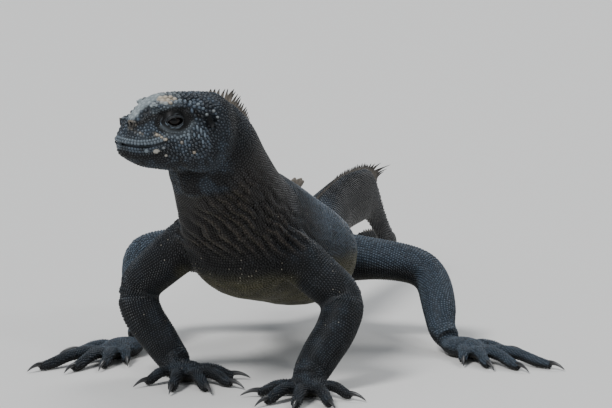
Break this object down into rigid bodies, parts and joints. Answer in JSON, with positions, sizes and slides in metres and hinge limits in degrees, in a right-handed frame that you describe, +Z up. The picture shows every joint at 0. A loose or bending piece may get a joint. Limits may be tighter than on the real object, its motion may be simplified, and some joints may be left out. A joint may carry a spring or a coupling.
{
  "type": "marine iguana model",
  "caption": "Life-size still model of a young marine iguana standing with its neck raised and its head turned to its right.",
  "frame": {"origin": "on the floor, under the middle of the box that holds the animal", "axes": "+Z up; the trunk points along -Y with the tail towards +Y; the animal's left is +X"},
  "size_m": [0.2456, 0.5242, 0.1346],
  "materials": {
    "skin": "dry scaly skin",
    "eye": "wet gloss"
  },
  "bodies": {
    "root": {"head": "skin", "eye_left": "eye", "eye_right": "eye", "neck": "skin", "chest": "skin", "loin": "skin", "tail_1": "skin", "tail_2": "skin", "tail_3": "skin", "tail_4": "skin", "upper_arm_left": "skin", "forearm_left": "skin", "hand_left": "skin", "thigh_left": "skin", "shank_left": "skin", "foot_left": "skin", "upper_arm_right": "skin", "forearm_right": "skin", "hand_right": "skin", "thigh_right": "skin", "shank_right": "skin", "foot_right": "skin"}
  },
  "joints": []
}
